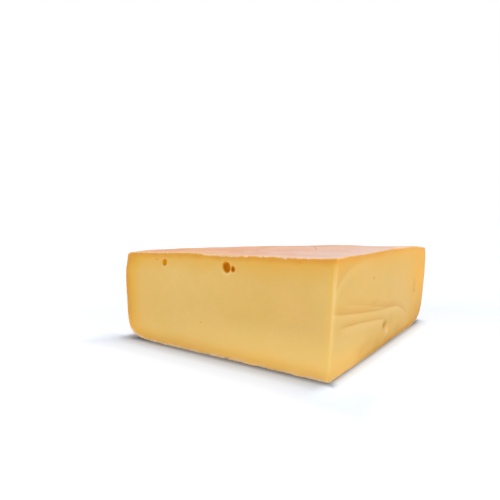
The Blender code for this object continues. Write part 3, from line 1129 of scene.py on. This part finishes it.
def crumb_shader(start):
    place = start.place()
    tone = start.stored("crumb_tone").fade(0, 1)
    brown = place.noise(0.8, detail=1).ease(0.5, 0.7)
    color = layered(tone.tint((255, 222, 172), (228, 180, 126)), (brown, 0.4, (214, 152, 90)))
    fixed = {"Subsurface Weight": 0.2, "Subsurface Scale": 0.002, "Subsurface Radius": (1.0, 0.5, 0.2)}
    return principled(color, 0.6, bumped(place.noise(0.4), 0.1, 0.5), fixed)


dress(wedge, "cheese", cheese_shader)
dress(crumbs, "rind crumbs", crumb_shader)
print("materials:", [made.name for made in bpy.data.materials])

# %% [markdown]
# ## Table
#
# The wedge stands on a plain white table that runs into a white backdrop, as in a catalogue. Beside
# the cuts the table is painted darker and bluer: a painted shadow beside the left cut, a painted cool
# tint beside the right one that takes back the cheese's yellow bounce light, and a dark, neutral
# painted shadow along the base where the wedge stands.

# %% White table
TABLE_RADIUS = 12.0


def flat_disc(name, size, sides=96):
    """A round table top, as one ring of points and their middle."""
    around = np.linspace(0, 2 * math.pi, sides, endpoint=False)
    ring = np.stack([size * np.cos(around), size * np.sin(around), 0 * around], axis=1)
    points = np.concatenate([ring, [[0, 0, 0]]])
    at = np.arange(sides)
    faces = np.stack([at, np.roll(at, -1), np.full(sides, sides)], axis=1)
    return make_piece(name, points, faces.tolist(), {})


def table_shader(start):
    place = start.place()
    from_axis = place.shifted(*(-WHEEL_AXIS))
    past_left = from_axis.dot(left_face) * 1000
    past_right = from_axis.dot(right_face) * 1000
    past_heel = from_axis.vector_math("LENGTH", (0, 0, 0), "Value") * 1000 - (WHEEL_RADIUS / MM - 14)
    past_cuts = past_left.math("MAXIMUM", past_left, past_right)
    outside = past_cuts.math("MAXIMUM", past_cuts, past_heel)
    # Painted shadow beside the left cut, painted cool tint beside the right one, and painted shadow along the
    # base.
    painted_shadow_left = outside.ease(48, 6) * past_left.ease(-6, 4)
    painted_cool_right = outside.ease(36, 2) * past_right.ease(-6, 4)
    painted_contact_shadow = outside.ease(6.5, 0.5) * painted_shadow_left + outside.ease(4, 0) * (1 - painted_shadow_left) * 0.5
    color = layered(
        place.noise(400, detail=1).tint((228, 232, 240), (230, 234, 242)),
        (painted_shadow_left, 1, (200, 206, 216)),
        (painted_cool_right, 1, (226, 236, 249)),
        (painted_contact_shadow, 1, (144, 149, 160)),
    )
    return principled(color, 0.9, bumped(place.noise(1.0), 0.01, 0.1), {"Specular IOR Level": 0.1})


table = flat_disc("table", TABLE_RADIUS)
dress(table, "white table", table_shader)
print("table:", 2 * TABLE_RADIUS, "m across")

# %% [markdown]
# ## Light
#
# A broad light overhead brightens the top and the table, a broader one on each side fills a cut, and
# the white surroundings do the rest. The camera sees them as plain white, while they light the cheese
# only by `AMBIENT`: at full strength they would wash out its shadows.

# %% Surroundings and lamps
AMBIENT = 0.38
world = bpy.data.worlds.new("white surroundings")
world.use_nodes = True
seen = Wire(world.node_tree).node("ShaderNodeLightPath", {}, {}, output="Is Camera Ray")
brightness = seen * (1 - AMBIENT) + AMBIENT
background = world.node_tree.nodes["Background"]
background.inputs["Color"].default_value = (1, 1, 1, 1)
world.node_tree.links.new(brightness.socket, background.inputs["Strength"])
bpy.context.scene.world = world


def distant_lamp(name, towards, brightness, spread):
    """A soft light far off in this direction: brightness 1 lights a facing white surface fully."""
    data = bpy.data.lights.new(name, "SUN")
    data.energy = math.pi * brightness
    data.angle = math.radians(spread)
    made = bpy.data.objects.new(name, data)
    made.rotation_euler = Vector(towards).to_track_quat("Z", "Y").to_euler()
    bpy.context.scene.collection.objects.link(made)


distant_lamp("overhead", (0.1, 0.04, 1), 0.78, 16)
distant_lamp("left", (-1, -0.35, 0.3), 0.35, 40)
distant_lamp("right", (0.75, -0.85, 0.25), 0.33, 40)

# %% [markdown]
# ## Camera
#
# The camera stands low in front of the tip and looks slightly down, so the top rind shows only as a
# thin pale band. Its place was worked out from the wedge's outline, and the small roll and shift are
# the photographer's. A camera looks along its own -Z, so its matrix holds the directions to its right,
# up and backwards, and its place.

# %% Camera
CAMERA_PLACE = np.array([-79.2, -324.1, 91.9]) * MM
HEADING = math.radians(7.745)
TILT_DOWN = math.radians(4.663)
ROLL = math.radians(-1.171)
FOCAL_PIXELS = 425.64
PICTURE = 500
SENSOR = 36.0
AXIS_ROW = 259.7

ahead = np.array([math.sin(HEADING), math.cos(HEADING), 0])
level_right = np.array([math.cos(HEADING), -math.sin(HEADING), 0])
forward = math.cos(TILT_DOWN) * ahead - math.sin(TILT_DOWN) * UP
above = math.sin(TILT_DOWN) * ahead + math.cos(TILT_DOWN) * UP
camera_right = math.cos(ROLL) * level_right + math.sin(ROLL) * above
camera_up = -math.sin(ROLL) * level_right + math.cos(ROLL) * above

camera_data = bpy.data.cameras.new("camera")
camera_data.sensor_width = SENSOR
camera_data.lens = SENSOR * FOCAL_PIXELS / PICTURE
camera_data.shift_y = (AXIS_ROW - PICTURE / 2) / PICTURE
camera = bpy.data.objects.new("camera", camera_data)
matrix = np.eye(4)
matrix[:3] = np.stack([camera_right, camera_up, -forward, CAMERA_PLACE], axis=1)
camera.matrix_world = matrix.T.tolist()
bpy.context.scene.collection.objects.link(camera)
bpy.context.scene.camera = camera
bpy.context.scene.view_settings.view_transform = "Standard"
print("lens:", round(camera_data.lens, 2), "mm")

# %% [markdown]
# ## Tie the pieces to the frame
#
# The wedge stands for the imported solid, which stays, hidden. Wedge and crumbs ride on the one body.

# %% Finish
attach(wedge, "root")
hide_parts("cheese_wedge")
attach(crumbs, "root")
